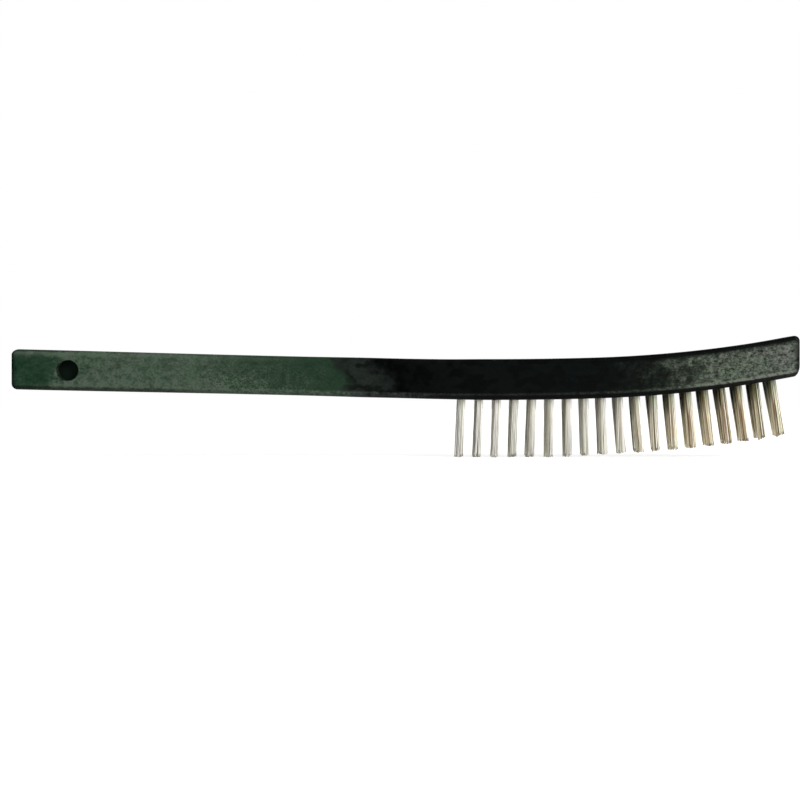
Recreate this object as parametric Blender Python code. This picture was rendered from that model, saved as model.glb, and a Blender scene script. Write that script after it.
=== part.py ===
"""Scratch brush: a bowed handle with three rows of steel wire tufts set in its curved head.

Run it with: blender --background --python part.py
Metres, +Z up. +X runs from the butt to the toe, the tufts point down, and +Y is the brush's left.
The origin is the middle of the footprint, on the surface that the wire tips stand on.
"""

import math

import bmesh
import bpy
from mathutils import Matrix, Vector

# The handle's reach along X. Both ends are cut plumb, whatever the spine's slope there.
OVERALL_LENGTH = 0.3500

# Spine of the handle, from the butt to the toe: a straight grip, then two tangent arcs.
GRIP_FALL_DEG = 1.35
HEEL_LENGTH = 0.0820
HEEL_RADIUS = 1.530
TOE_LENGTH = 0.0905
TOE_RADIUS = 0.557

# Section of the handle. The side margin runs from the outer tufts' middle line to the handle's side.
SIDE_MARGIN = 0.00465
BUTT_THICKNESS = 0.0179
WAIST_THICKNESS = 0.0173
HEAD_THICKNESS = 0.0182
TOE_THICKNESS = 0.0179
WAIST_SHARE = 0.68
EDGE_RADIUS = 0.0020
END_CORNER_RADIUS = 0.0029

# Hole that the brush hangs by. It runs through the handle from side to side.
HANG_HOLE_DIAMETER = 0.0090
HANG_HOLE_FROM_BUTT = 0.0255

# Tuft holes: drilled square to the curved face, in rows across the head. The rows nearest the butt
# stand a little wider apart than those that go round to the toe.
TUFT_ROWS = 19
HEEL_ROWS = 7
TUFTS_ACROSS = 3
HEEL_ROW_PITCH = 0.00785
TOE_ROW_PITCH = 0.00750
ACROSS_PITCH = 0.00635
LAST_ROW_FROM_TOE = 0.01279
TUFT_HOLE_DIAMETER = 0.0038
TUFT_HOLE_DEPTH = 0.0105

# A tuft: wires folded over a flat steel anchor, and packed into their hole.
FIT_GAP = 0.0003
TUFT_SINK = 0.0005
TRIM_LENGTH = 0.0256
STRANDS_ROUND = 6
STRAND_RING_SHARE = 0.62
STRAND_RADIUS_SHARE = 0.33
TIP_SPREAD = 0.00045
TIP_STRAY = 0.00012
FOLD_HEIGHT = 0.0012
FOLD_TAPER_SHARE = 0.72
ANCHOR_THICKNESS = 0.0005
ANCHOR_HEIGHT = 0.0016
ANCHOR_FROM_FOLD = 0.0015

# How finely round things are faceted.
EDGE_SEGMENTS = 4
CORNER_SEGMENTS = 4
GRIP_STEPS = 10
TUFT_HOLE_SIDES = 12
HANG_HOLE_SIDES = 32
ROOT_SIDES = 6
STRAND_SIDES = 3
TUFT_PATTERNS = 5

# One overrun serves every cutter and every piece that a union joins.
OVERRUN = 0.0010

GRIP_LENGTH = OVERALL_LENGTH - HEEL_LENGTH - TOE_LENGTH
HANDLE_WIDTH = (TUFTS_ACROSS - 1) * ACROSS_PITCH + 2 * SIDE_MARGIN
HEEL_ROWS_LENGTH = (HEEL_ROWS - 1) * HEEL_ROW_PITCH
TOE_ROWS_LENGTH = (TUFT_ROWS - HEEL_ROWS) * TOE_ROW_PITCH
FIRST_ROW_FROM_BUTT = OVERALL_LENGTH - LAST_ROW_FROM_TOE - TOE_ROWS_LENGTH - HEEL_ROWS_LENGTH
ROOT_RADIUS = TUFT_HOLE_DIAMETER / 2 - FIT_GAP
ROOT_LENGTH = TUFT_HOLE_DEPTH - TUFT_SINK - FIT_GAP
ACROSS_NAMES = ("right", "middle", "left")


def clear_scene():
    for obj in list(bpy.data.objects):
        bpy.data.objects.remove(obj)


def plastic():
    """Moulded plastic of a green so deep that it looks black."""
    return principled("handle_plastic", (0.014, 0.026, 0.018, 1.0), roughness=0.5, metallic=0.0)


def steel():
    """Drawn stainless steel wire."""
    return principled("steel_wire", (0.62, 0.60, 0.55, 1.0), roughness=0.35, metallic=1.0)


def principled(name, colour, roughness, metallic):
    material = bpy.data.materials.new(name)
    material.use_nodes = True
    shader = material.node_tree.nodes["Principled BSDF"]
    shader.inputs["Base Color"].default_value = colour
    shader.inputs["Roughness"].default_value = roughness
    shader.inputs["Metallic"].default_value = metallic
    material.diffuse_color = colour
    return material


def spine_angle(along):
    """Slope of the spine at a distance from the butt, in radians, upward towards the toe."""
    in_heel = min(max(along - GRIP_LENGTH, 0.0), HEEL_LENGTH)
    in_toe = max(along - GRIP_LENGTH - HEEL_LENGTH, 0.0)
    return -math.radians(GRIP_FALL_DEG) + in_heel / HEEL_RADIUS + in_toe / TOE_RADIUS


def arc_end(start, angle, length, radius):
    """Where an arc of this length and radius ends, from its start and first slope."""
    turned = angle + length / radius
    return start + Vector((
        radius * (math.sin(turned) - math.sin(angle)),
        0.0,
        radius * (math.cos(angle) - math.cos(turned)),
    ))


def spine_point(along):
    """Point of the spine at a distance from the butt, with the butt at the origin."""
    fall = spine_angle(0.0)
    straight = min(along, GRIP_LENGTH)
    point = Vector((straight * math.cos(fall), 0.0, straight * math.sin(fall)))
    if along > GRIP_LENGTH:
        in_heel = min(along - GRIP_LENGTH, HEEL_LENGTH)
        point = arc_end(point, fall, in_heel, HEEL_RADIUS)
    in_toe = along - GRIP_LENGTH - HEEL_LENGTH
    if in_toe > 0.0:
        point = arc_end(point, spine_angle(along - in_toe), in_toe, TOE_RADIUS)
    return point


def spine_frame(along):
    """Matrix at a place on the spine: X along the spine, Y across the brush, Z out of its back."""
    turn = Matrix.Rotation(-spine_angle(along), 4, "Y")
    return Matrix.Translation(spine_point(along)) @ turn


def eased(start, end, share):
    """A value between two, level at both ends."""
    share = min(max(share, 0.0), 1.0)
    return start + (end - start) * (1.0 - math.cos(math.pi * share)) / 2.0


def thickness(along):
    """Handle thickness: a swell at the butt, a waist in the grip, the full head, a finer toe."""
    waist = GRIP_LENGTH * WAIST_SHARE
    if along <= waist:
        return eased(BUTT_THICKNESS, WAIST_THICKNESS, along / waist)
    if along <= FIRST_ROW_FROM_BUTT:
        grown = (along - waist) / (FIRST_ROW_FROM_BUTT - waist)
        return eased(WAIST_THICKNESS, HEAD_THICKNESS, grown)
    middle = (FIRST_ROW_FROM_BUTT + OVERALL_LENGTH) / 2
    return eased(HEAD_THICKNESS, TOE_THICKNESS, (along - middle) / (OVERALL_LENGTH - middle))


def row_places():
    """Distance of each tuft row from the butt, along the spine."""
    heel = [FIRST_ROW_FROM_BUTT + row * HEEL_ROW_PITCH for row in range(HEEL_ROWS)]
    toe = [heel[-1] + (row + 1) * TOE_ROW_PITCH for row in range(TUFT_ROWS - HEEL_ROWS)]
    return heel + toe


def side_stations():
    """Places along the spine where the handle's outline has a point, from past the butt to past the toe.

    In the head they lie midway between the tuft rows, so each row has a flat facet of its own,
    square to its holes.
    """
    rows = row_places()
    heel = rows[0] - HEEL_ROW_PITCH / 2
    past = HEAD_THICKNESS / 2
    grip = [heel * step / GRIP_STEPS for step in range(1, GRIP_STEPS)]
    between = [(row + following) / 2 for row, following in zip(rows, rows[1:])]
    toe = rows[-1] + TOE_ROW_PITCH / 2
    return [-past] + grip + [heel] + between + [toe, OVERALL_LENGTH + past]


def side_face(mesh):
    """The handle's side view as one face on its -Y side: long blank, plumb ends, round corners."""
    stations = side_stations()
    face = [spine_frame(s) @ Vector((0.0, 0.0, -thickness(s) / 2)) for s in stations]
    back = [spine_frame(s) @ Vector((0.0, 0.0, thickness(s) / 2)) for s in reversed(stations)]
    aside = Vector((0.0, -HANDLE_WIDTH / 2, 0.0))
    mesh.faces.new([mesh.verts.new(point + aside) for point in face + back])
    corners = []
    for end, outward in ((0.0, -1.0), (OVERALL_LENGTH, 1.0)):
        trimmed = bmesh.ops.bisect_plane(
            mesh, geom=mesh.verts[:] + mesh.edges[:] + mesh.faces[:], clear_outer=True,
            plane_co=(end, 0.0, 0.0), plane_no=(outward, 0.0, 0.0),
        )
        corners += [item for item in trimmed["geom_cut"] if isinstance(item, bmesh.types.BMVert)]
    bmesh.ops.bevel(
        mesh, geom=corners, offset=END_CORNER_RADIUS, offset_type="OFFSET",
        segments=CORNER_SEGMENTS, profile=0.5, affect="VERTICES", clamp_overlap=True,
    )
    side, = mesh.faces
    return side


def handle_blank():
    """The handle before drilling: its side view, extruded to width, with both rims rounded."""
    mesh = bmesh.new()
    side = side_face(mesh)
    rim = list(side.edges)
    pushed = bmesh.ops.extrude_face_region(mesh, geom=[side], use_keep_orig=True)["geom"]
    far = [item for item in pushed if isinstance(item, bmesh.types.BMVert)]
    bmesh.ops.translate(mesh, verts=far, vec=(0.0, HANDLE_WIDTH, 0.0))
    rim += [edge for edge in pushed if isinstance(edge, bmesh.types.BMEdge)]
    bmesh.ops.recalc_face_normals(mesh, faces=mesh.faces)
    bmesh.ops.bevel(
        mesh, geom=rim, offset=EDGE_RADIUS, offset_type="OFFSET", segments=EDGE_SEGMENTS,
        profile=0.5, affect="EDGES", clamp_overlap=True,
    )
    return mesh


def tuft_frame(along, across):
    """Matrix at a tuft hole's mouth: Z points out of the hole, along the wires."""
    mouth = Matrix.Translation((0.0, across * ACROSS_PITCH, -thickness(along) / 2))
    return spine_frame(along) @ mouth @ Matrix.Rotation(math.pi, 4, "X")


def tuft_places():
    """(row number, name across, matrix) of every tuft."""
    places = []
    for number, along in enumerate(row_places(), start=1):
        for column in range(TUFTS_ACROSS):
            across = column - (TUFTS_ACROSS - 1) / 2
            name = ACROSS_NAMES[column] if TUFTS_ACROSS == len(ACROSS_NAMES) else str(column + 1)
            places.append((number, name, tuft_frame(along, across)))
    return places


def add_rod(mesh, matrix, low, high, radius_low, radius_high, sides):
    """Adds a closed rod or cone frustum along the matrix's Z axis, from low to high."""
    middle = Matrix.Translation((0.0, 0.0, (low + high) / 2))
    bmesh.ops.create_cone(
        mesh, cap_ends=True, cap_tris=False, segments=sides, radius1=radius_low,
        radius2=radius_high, depth=high - low, matrix=matrix @ middle,
    )


def hole_cutters():
    """Cutters of all the holes in the handle: the blind tuft holes and the hang hole."""
    mesh = bmesh.new()
    radius = TUFT_HOLE_DIAMETER / 2
    for _, _, frame in tuft_places():
        add_rod(mesh, frame, -TUFT_HOLE_DEPTH, OVERRUN, radius, radius, TUFT_HOLE_SIDES)
    across = spine_frame(HANG_HOLE_FROM_BUTT) @ Matrix.Rotation(math.pi / 2, 4, "X")
    reach = HANDLE_WIDTH / 2 + OVERRUN
    hang = HANG_HOLE_DIAMETER / 2
    add_rod(mesh, across, -reach, reach, hang, hang, HANG_HOLE_SIDES)
    return mesh


def new_object(name, mesh, parent=None, material=None):
    """An object from a bmesh, which it frees."""
    data = bpy.data.meshes.new(name)
    mesh.to_mesh(data)
    mesh.free()
    obj = bpy.data.objects.new(name, data)
    obj.parent = parent
    bpy.context.scene.collection.objects.link(obj)
    if material:
        data.materials.append(material)
    return obj


def boolean(obj, other, operation):
    modifier = obj.modifiers.new(f"{operation.lower()} {other.name}", "BOOLEAN")
    modifier.operation = operation
    modifier.object = other


def make_handle(brush, material):
    handle = new_object("handle", handle_blank(), brush, material)
    holes = new_object("drilled_holes", hole_cutters(), brush)
    holes.hide_render = True
    holes.display_type = "WIRE"
    boolean(handle, holes, "DIFFERENCE")
    handle.data.shade_smooth()
    handle.data.set_sharp_from_angle(angle=math.radians(40.0))
    return handle


def root_mesh():
    """The part of a tuft inside its hole: packed wires, drawn in where they fold over the anchor."""
    mesh = bmesh.new()
    top = -TUFT_SINK
    bottom = top - ROOT_LENGTH
    waist = bottom + FOLD_HEIGHT
    add_rod(mesh, Matrix(), bottom, waist, ROOT_RADIUS * FOLD_TAPER_SHARE, ROOT_RADIUS, ROOT_SIDES)
    cap = max(mesh.faces, key=lambda face: face.calc_center_median().z)
    grown = bmesh.ops.extrude_face_region(mesh, geom=[cap])["geom"]
    raised = [item for item in grown if isinstance(item, bmesh.types.BMVert)]
    bmesh.ops.translate(mesh, verts=raised, vec=(0.0, 0.0, top - waist))
    bmesh.ops.delete(mesh, geom=[cap], context="FACES_ONLY")
    return mesh


def anchor_mesh():
    """The flat steel anchor that pins the fold. Its ends stand out of the wires on both sides."""
    mesh = bmesh.new()
    fold = -TUFT_SINK - ROOT_LENGTH
    middle = Matrix.Translation((0.0, 0.0, fold + ANCHOR_FROM_FOLD + ANCHOR_HEIGHT / 2))
    size = Matrix.Diagonal((2 * ROOT_RADIUS, ANCHOR_THICKNESS, ANCHOR_HEIGHT, 1.0))
    bmesh.ops.create_cube(mesh, size=1.0, matrix=middle @ size)
    return mesh


def strand_feet():
    """Where the strands leave the root: one in the middle and a ring round it, by the root's corners."""
    ring = ROOT_RADIUS * STRAND_RING_SHARE
    feet = [Vector((0.0, 0.0, 0.0))]
    for number in range(STRANDS_ROUND):
        angle = math.tau * number / STRANDS_ROUND
        feet.append(Vector((ring * math.sin(angle), ring * math.cos(angle), 0.0)))
    return feet


def strands_mesh(pattern):
    """Strands from inside the root to the trimmed tips, each spread outwards a little its own way."""
    mesh = bmesh.new()
    radius = ROOT_RADIUS * STRAND_RADIUS_SHARE
    for number, foot in enumerate(strand_feet()):
        spread = foot.normalized() * TIP_SPREAD if foot.length else Vector()
        turn = math.tau * math.sin(pattern * 1.7 + number * 2.4)
        stray = Vector((math.cos(turn), math.sin(turn), 0.0)) * TIP_STRAY
        add_strand(mesh, foot, foot + spread + stray, radius)
    return mesh


def add_strand(mesh, foot, tip, radius):
    """A straight strand of few sides, with its foot sunk into the root."""
    made = bmesh.ops.create_cone(
        mesh, cap_ends=True, segments=STRAND_SIDES, radius1=radius, radius2=radius, depth=1.0,
    )["verts"]
    low, high = -TUFT_SINK - OVERRUN, TRIM_LENGTH
    for vert in made:
        at_tip = vert.co.z > 0.0
        vert.co += tip if at_tip else foot
        vert.co.z = high if at_tip else low


def make_tuft_pattern(pattern, material):
    """A tuft's mesh: root, anchor and strands joined into one body."""
    root = new_object(f"root_{pattern}", root_mesh(), material=material)
    anchor = new_object(f"anchor_{pattern}", anchor_mesh())
    strands = new_object(f"strands_{pattern}", strands_mesh(pattern))
    boolean(root, anchor, "UNION")
    boolean(root, strands, "UNION")
    bpy.context.view_layer.update()
    graph = bpy.context.evaluated_depsgraph_get()
    joined = bpy.data.meshes.new_from_object(root.evaluated_get(graph))
    joined.name = f"tuft_pattern_{pattern}"
    for helper in (root, anchor, strands):
        bpy.data.objects.remove(helper)
    return joined


def make_tufts(brush, material):
    """Every tuft as its own object. The patterns take turns, and every other tuft is turned half round."""
    patterns = [make_tuft_pattern(number, material) for number in range(TUFT_PATTERNS)]
    tufts = []
    for index, (row, name, frame) in enumerate(tuft_places()):
        tuft = bpy.data.objects.new(f"tuft_{row:02d}_{name}", patterns[index % TUFT_PATTERNS])
        bpy.context.scene.collection.objects.link(tuft)
        tuft.parent = brush
        half_turn = Matrix.Rotation(math.pi * (index % 2), 4, "Z")
        tuft.matrix_local = frame @ half_turn
        tufts.append(tuft)
    return tufts


def seat_on_surface(brush, pieces):
    """Moves the brush so that the middle of its footprint is the origin and its tips stand at Z 0."""
    bpy.context.view_layer.update()
    graph = bpy.context.evaluated_depsgraph_get()
    corners = []
    for piece in pieces:
        shape = piece.evaluated_get(graph)
        corners += [shape.matrix_world @ vert.co for vert in shape.data.vertices]
    low = Vector([min(corner[axis] for corner in corners) for axis in range(3)])
    high = Vector([max(corner[axis] for corner in corners) for axis in range(3)])
    brush.location = (-(low.x + high.x) / 2, -(low.y + high.y) / 2, -low.z)


def main():
    clear_scene()
    brush = bpy.data.objects.new("brush", None)
    bpy.context.scene.collection.objects.link(brush)
    handle = make_handle(brush, plastic())
    tufts = make_tufts(brush, steel())
    seat_on_surface(brush, [handle] + tufts)


main()
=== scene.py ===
"""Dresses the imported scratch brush: moulded plastic handle, bundles of steel wire, plain studio.

Metres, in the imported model's frame: +X runs from the butt to the toe, the tufts point down, and the
wire tips stand on the floor at Z 0.
"""

import math
import random

import bmesh
import bpy
from mathutils import Matrix, Vector


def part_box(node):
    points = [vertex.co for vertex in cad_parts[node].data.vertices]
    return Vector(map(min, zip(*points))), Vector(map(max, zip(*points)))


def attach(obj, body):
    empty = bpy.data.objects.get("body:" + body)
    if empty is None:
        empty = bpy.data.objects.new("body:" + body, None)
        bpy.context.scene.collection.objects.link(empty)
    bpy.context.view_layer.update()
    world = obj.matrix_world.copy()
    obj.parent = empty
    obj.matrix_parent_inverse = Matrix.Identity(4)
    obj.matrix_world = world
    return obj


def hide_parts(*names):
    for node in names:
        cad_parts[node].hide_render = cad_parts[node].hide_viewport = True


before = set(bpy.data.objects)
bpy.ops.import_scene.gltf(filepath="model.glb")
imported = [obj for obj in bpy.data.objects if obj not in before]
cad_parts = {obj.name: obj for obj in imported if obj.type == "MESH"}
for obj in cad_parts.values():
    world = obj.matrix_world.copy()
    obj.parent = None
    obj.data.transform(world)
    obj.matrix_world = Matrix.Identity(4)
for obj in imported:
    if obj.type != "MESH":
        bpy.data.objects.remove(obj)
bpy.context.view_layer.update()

# Shape of the handle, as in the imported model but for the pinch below.
OVERALL_LENGTH = 0.3500
GRIP_FALL_DEG = 1.35
HEEL_LENGTH = 0.0820
HEEL_RADIUS = 1.530
TOE_LENGTH = 0.0905
TOE_RADIUS = 0.557
HANDLE_WIDTH = 0.0220
BUTT_THICKNESS = 0.0179
WAIST_THICKNESS = 0.0173
HEAD_THICKNESS = 0.0182
TOE_THICKNESS = 0.0179
WAIST_SHARE = 0.68
EDGE_RADIUS = 0.0020
HANG_HOLE_DIAMETER = 0.0090
HANG_HOLE_FROM_BUTT = 0.0255

# Round corners of the side view: reach along the handle, and reach down or up the plumb end.
BUTT_BACK_CORNER = (0.0036, 0.0026)
BUTT_FACE_CORNER = (0.0026, 0.0026)
TOE_BACK_CORNER = (0.0030, 0.0030)
TOE_FACE_CORNER = (0.0027, 0.0046)

# A slight waist before the tufts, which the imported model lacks, and where along the spine it lies.
PINCH = 0.00040
PINCH_FROM, PINCH_FULL, PINCH_EASES, PINCH_TO = 0.150, 0.178, 0.190, 0.212

# Tufts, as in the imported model.
TUFT_ROWS = 19
HEEL_ROWS = 7
HEEL_ROW_PITCH = 0.00785
TOE_ROW_PITCH = 0.00750
ACROSS_PITCH = 0.00635
LAST_ROW_FROM_TOE = 0.01279
TUFT_HOLE_DIAMETER = 0.0038
TUFT_HOLE_DEPTH = 0.0105
TRIM_LENGTH = 0.0256
ACROSS_NAMES = ("right", "middle", "left")

# Wires of a tuft: their size and pitch, and the heights above the face at which each has a ring.
WIRE_RADIUS = 0.00021
WIRE_PITCH = 0.00049
WIRE_RINGS = 3
WIRE_SIDES = 8
WIRE_STATIONS = (-0.0080, -0.0006, 0.0010, 0.0040, 0.0080, 0.0120, 0.0160, 0.0200, 0.0232)
LAST_STATION_GAP = 0.0008
TIP_CHAMFER = 0.00008
TIP_RADIUS_SHARE = 0.72

# How untidy the wires are: the spread at the tips, the sway and bow between root and tip, the stray
# of the tips, the few loose ones that stray further, and the part in each tuft.
DRAW_SEED = 1907
TIP_SPREAD = 0.10
SPREAD_POWER = 1.5
WAVER = 0.00010
WAVER_SHARES = (0.2, 1.0)
BOW_SHARES = (0.6, 1.6)
TIP_STRAY = 0.00013
LOOSE_SHARE = 0.03
LOOSE_FACTOR = 3.5
FOOT_JITTER = 0.00003
PARTING = (0.0002, 0.0007)
PARTING_PEAK = 1.3

# How unevenly the wires are cut, and how much shorter the trim is in the rows near the toe.
TRIM_STRAY = 0.00030
TRIM_LONGEST = 0.0004
TRIM_SHORTEST = -0.0011
TRIM_SLANT = 0.22
HEEL_TRIMMED = 0.0001
TOE_TRIMMED = 0.0010
TRIMMED_FROM_ROW = 5.5
TRIMMED_OVER_ROWS = 5

# How far the outer rows lean from square to the face, in degrees towards the toe, row by row.
RIGHT_LEANS = (-2.6, -2.0, -3.1, -3.2, -3.1, -3.1, -1.6, -1.0, 0.0, -1.0,
               1.1, -1.2, -1.5, -0.7, 0.4, -0.1, -0.8, -1.9, -2.0)
LEFT_LEANS = (-2.2, -2.2, -1.7, -1.4, -2.5, -0.7, 0.0, 0.3, 1.5, 2.8,
              1.4, 2.1, 0.7, 0.8, 1.6, 2.5, 1.1, 0.8, 1.5)

# The photograph's camera.
CAMERA_PLACE = (-0.00251, -0.7510, 0.02566)
CAMERA_LENS = 75.18
CAMERA_SENSOR = 36.0
CAMERA_CLIP_START = 0.01

GRIP_LENGTH = OVERALL_LENGTH - HEEL_LENGTH - TOE_LENGTH
FIRST_ROW_FROM_BUTT = (
    OVERALL_LENGTH - LAST_ROW_FROM_TOE - (HEEL_ROWS - 1) * HEEL_ROW_PITCH
    - (TUFT_ROWS - HEEL_ROWS) * TOE_ROW_PITCH
)


def spine_angle(along):
    in_heel = min(max(along - GRIP_LENGTH, 0.0), HEEL_LENGTH)
    in_toe = max(along - GRIP_LENGTH - HEEL_LENGTH, 0.0)
    return -math.radians(GRIP_FALL_DEG) + in_heel / HEEL_RADIUS + in_toe / TOE_RADIUS


def arc_end(start, angle, length, radius):
    """Where an arc of this length ends that leaves the start at this angle and bends upwards."""
    turned = angle + length / radius
    return start + Vector((
        radius * (math.sin(turned) - math.sin(angle)),
        0.0,
        radius * (math.cos(angle) - math.cos(turned)),
    ))


def spine_point(along):
    fall = spine_angle(0.0)
    straight = min(along, GRIP_LENGTH)
    point = Vector((straight * math.cos(fall), 0.0, straight * math.sin(fall)))
    if along > GRIP_LENGTH:
        point = arc_end(point, fall, min(along - GRIP_LENGTH, HEEL_LENGTH), HEEL_RADIUS)
    in_toe = along - GRIP_LENGTH - HEEL_LENGTH
    if in_toe > 0.0:
        point = arc_end(point, spine_angle(along - in_toe), in_toe, TOE_RADIUS)
    return point


def spine_frame(along):
    """X along the spine, Y across the brush, Z out of its back."""
    turn = Matrix.Rotation(-spine_angle(along), 4, "Y")
    return Matrix.Translation(spine_point(along)) @ turn


def eased(start, end, share):
    """Runs from start to end while the share runs from 0 to 1, slowly at both ends."""
    share = min(max(share, 0.0), 1.0)
    return start + (end - start) * (1.0 - math.cos(math.pi * share)) / 2.0


def thickness(along):
    waist = GRIP_LENGTH * WAIST_SHARE
    if along <= waist:
        return eased(BUTT_THICKNESS, WAIST_THICKNESS, along / waist)
    if along <= FIRST_ROW_FROM_BUTT:
        grown = (along - waist) / (FIRST_ROW_FROM_BUTT - waist)
        return eased(WAIST_THICKNESS, HEAD_THICKNESS, grown)
    middle = (FIRST_ROW_FROM_BUTT + OVERALL_LENGTH) / 2
    return eased(HEAD_THICKNESS, TOE_THICKNESS, (along - middle) / (OVERALL_LENGTH - middle))


def pinch(along):
    """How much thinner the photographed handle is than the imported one, just before the tufts."""
    grown = eased(0.0, PINCH, (along - PINCH_FROM) / (PINCH_FULL - PINCH_FROM))
    return eased(grown, 0.0, (along - PINCH_EASES) / (PINCH_TO - PINCH_EASES))


def row_places():
    heel = [FIRST_ROW_FROM_BUTT + row * HEEL_ROW_PITCH for row in range(HEEL_ROWS)]
    toe = [heel[-1] + (row + 1) * TOE_ROW_PITCH for row in range(TUFT_ROWS - HEEL_ROWS)]
    return heel + toe


def tuft_frame(along, across):
    """Z points out of the hole, along the wires."""
    mouth = Matrix.Translation((0.0, across * ACROSS_PITCH, -thickness(along) / 2))
    return spine_frame(along) @ mouth @ Matrix.Rotation(math.pi, 4, "X")


# How finely the outline of the side view and the flat sides are drawn.
RAIL_STEPS = 230
CORNER_STEPS = 10
END_STEPS = 6
SIDE_STEPS = 10

# How far and how often the places along the spine are searched.
SEARCH_REACH = 0.02
SEARCH_STEPS = 50
DROP_STEPS = 3


def rail_point(along, side):
    half = (thickness(along) - pinch(along)) / 2
    return spine_frame(along) @ Vector((0.0, 0.0, side * half))


def along_at(x, side):
    """Distance along the spine at which the back (side 1) or the face (side -1) passes this X."""
    low, high = x - SEARCH_REACH, x + SEARCH_REACH
    for _ in range(SEARCH_STEPS):
        middle = (low + high) / 2
        if rail_point(middle, side).x < x:
            low = middle
        else:
            high = middle
    return (low + high) / 2


def corner_points(side, at_toe, reach, drop):
    """A rounded corner, from the rail to the plumb end."""
    end = OVERALL_LENGTH if at_toe else 0.0
    corner = rail_point(along_at(end, side), side)
    inward = -1.0 if at_toe else 1.0
    start = rail_point(along_at(end + inward * reach, side), side)
    points = []
    for step in range(CORNER_STEPS + 1):
        turn = math.pi / 2 * step / CORNER_STEPS
        along = (start - corner) * (1.0 - math.sin(turn))
        down = Vector((0.0, 0.0, -side * drop)) * (1.0 - math.cos(turn))
        points.append(corner + along + down)
    return points


def rail_points(side, butt_reach, toe_reach):
    """The rail between its two corners, both ends left out."""
    start = along_at(butt_reach, side)
    end = along_at(OVERALL_LENGTH - toe_reach, side)
    return [
        rail_point(start + (end - start) * step / RAIL_STEPS, side) for step in range(1, RAIL_STEPS)
    ]


def end_points(top, bottom):
    """The straight part of a plumb end, both ends left out."""
    return [top.lerp(bottom, step / END_STEPS) for step in range(1, END_STEPS)]


def outline():
    """The closed side view: back from butt to toe, toe end, face back to the butt, butt end."""
    butt_back = corner_points(1, False, *BUTT_BACK_CORNER)
    toe_back = corner_points(1, True, *TOE_BACK_CORNER)
    toe_face = corner_points(-1, True, *TOE_FACE_CORNER)
    butt_face = corner_points(-1, False, *BUTT_FACE_CORNER)
    points = butt_back[::-1] + rail_points(1, BUTT_BACK_CORNER[0], TOE_BACK_CORNER[0]) + toe_back
    points += end_points(toe_back[-1], toe_face[-1]) + toe_face[::-1]
    points += rail_points(-1, BUTT_FACE_CORNER[0], TOE_FACE_CORNER[0])[::-1] + butt_face
    points += end_points(butt_face[-1], butt_back[-1])
    return points


def outward_normals(points):
    normals = []
    for number, point in enumerate(points):
        ahead = points[(number + 1) % len(points)]
        behind = points[number - 1]
        run = (ahead - point).normalized() + (point - behind).normalized()
        normals.append(Vector((-run.z, 0.0, run.x)).normalized())
    return normals


def seat():
    """Where the model stands: the shift from the spine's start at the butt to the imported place."""
    low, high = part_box("handle")
    return Vector((
        (low[0] + high[0]) / 2 - OVERALL_LENGTH / 2,
        (low[1] + high[1]) / 2,
        high[2] - max(point.z for point in outline()),
    ))


SEAT = seat()


def drop_of(point):
    """How far a point lies below the back, as a share of the thickness: 1 on the face."""
    along = point.x
    for _ in range(DROP_STEPS):
        local = spine_frame(along).inverted() @ point
        along += local.x
    return 0.5 - local.z / thickness(along)


def settled(name, mesh):
    """The finished mesh data of a bmesh, which is freed."""
    data = bpy.data.meshes.new(name)
    mesh.to_mesh(data)
    mesh.free()
    return data


def new_object(name, data, material=None, sharp_deg=None):
    obj = bpy.data.objects.new(name, data)
    bpy.context.scene.collection.objects.link(obj)
    if material:
        data.materials.append(material)
    if sharp_deg:
        data.shade_smooth()
        data.set_sharp_from_angle(angle=math.radians(sharp_deg))
    return obj


# Rings of the handle, from one flat side to the other.
FILLET_STEPS = 8
SUPPORT_INSET = 0.0004
BACK_STEPS = 8

# Drilled holes, and the edges that stay sharp.
HOLE_OVERRUN = 0.001
TUFT_HOLE_SIDES = 24
HANG_HOLE_SIDES = 64
PLASTIC_SHARP_DEG = 38.0
WIRE_SHARP_DEG = 50.0


def ring_places():
    """(inset from the outline, Y, share of the turn from flat side to back) of each ring."""
    half = HANDLE_WIDTH / 2
    rings = [(EDGE_RADIUS + SUPPORT_INSET, -half, 0.0)]
    for step in range(FILLET_STEPS + 1):
        turn = math.pi / 2 * step / FILLET_STEPS
        inset = EDGE_RADIUS * (1.0 - math.sin(turn))
        y = -half + EDGE_RADIUS * (1.0 - math.cos(turn))
        rings.append((inset, y, step / FILLET_STEPS))
    flat = half - EDGE_RADIUS
    middle = [(0.0, -flat + 2 * flat * step / BACK_STEPS, 1.0) for step in range(1, BACK_STEPS)]
    return rings + middle + [(inset, -y, turned) for inset, y, turned in reversed(rings)]


def fill_side(mesh, ring, rim, drop):
    """A flat side as rows of small faces from each point of the back to its twin on the face."""
    count = len(ring)
    half_end = END_STEPS // 2
    rows = []
    for number in range(-half_end, count // 2 - half_end + 1):
        top, bottom = ring[number % count], ring[(count - END_STEPS - number) % count]
        row = [top]
        if top is not bottom:
            for step in range(1, SIDE_STEPS):
                vert = mesh.verts.new(top.co.lerp(bottom.co, step / SIDE_STEPS))
                vert[rim] = 0.0
                vert[drop] = top[drop] + (bottom[drop] - top[drop]) * step / SIDE_STEPS
                row.append(vert)
            row.append(bottom)
        rows.append(row)
    for row, following in zip(rows, rows[1:]):
        for step in range(SIDE_STEPS):
            after = step + 1
            corners = []
            for line, place in ((row, step), (row, after), (following, after), (following, step)):
                corner = line[min(place, len(line) - 1)]
                if corner not in corners:
                    corners.append(corner)
            mesh.faces.new(corners)


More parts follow.
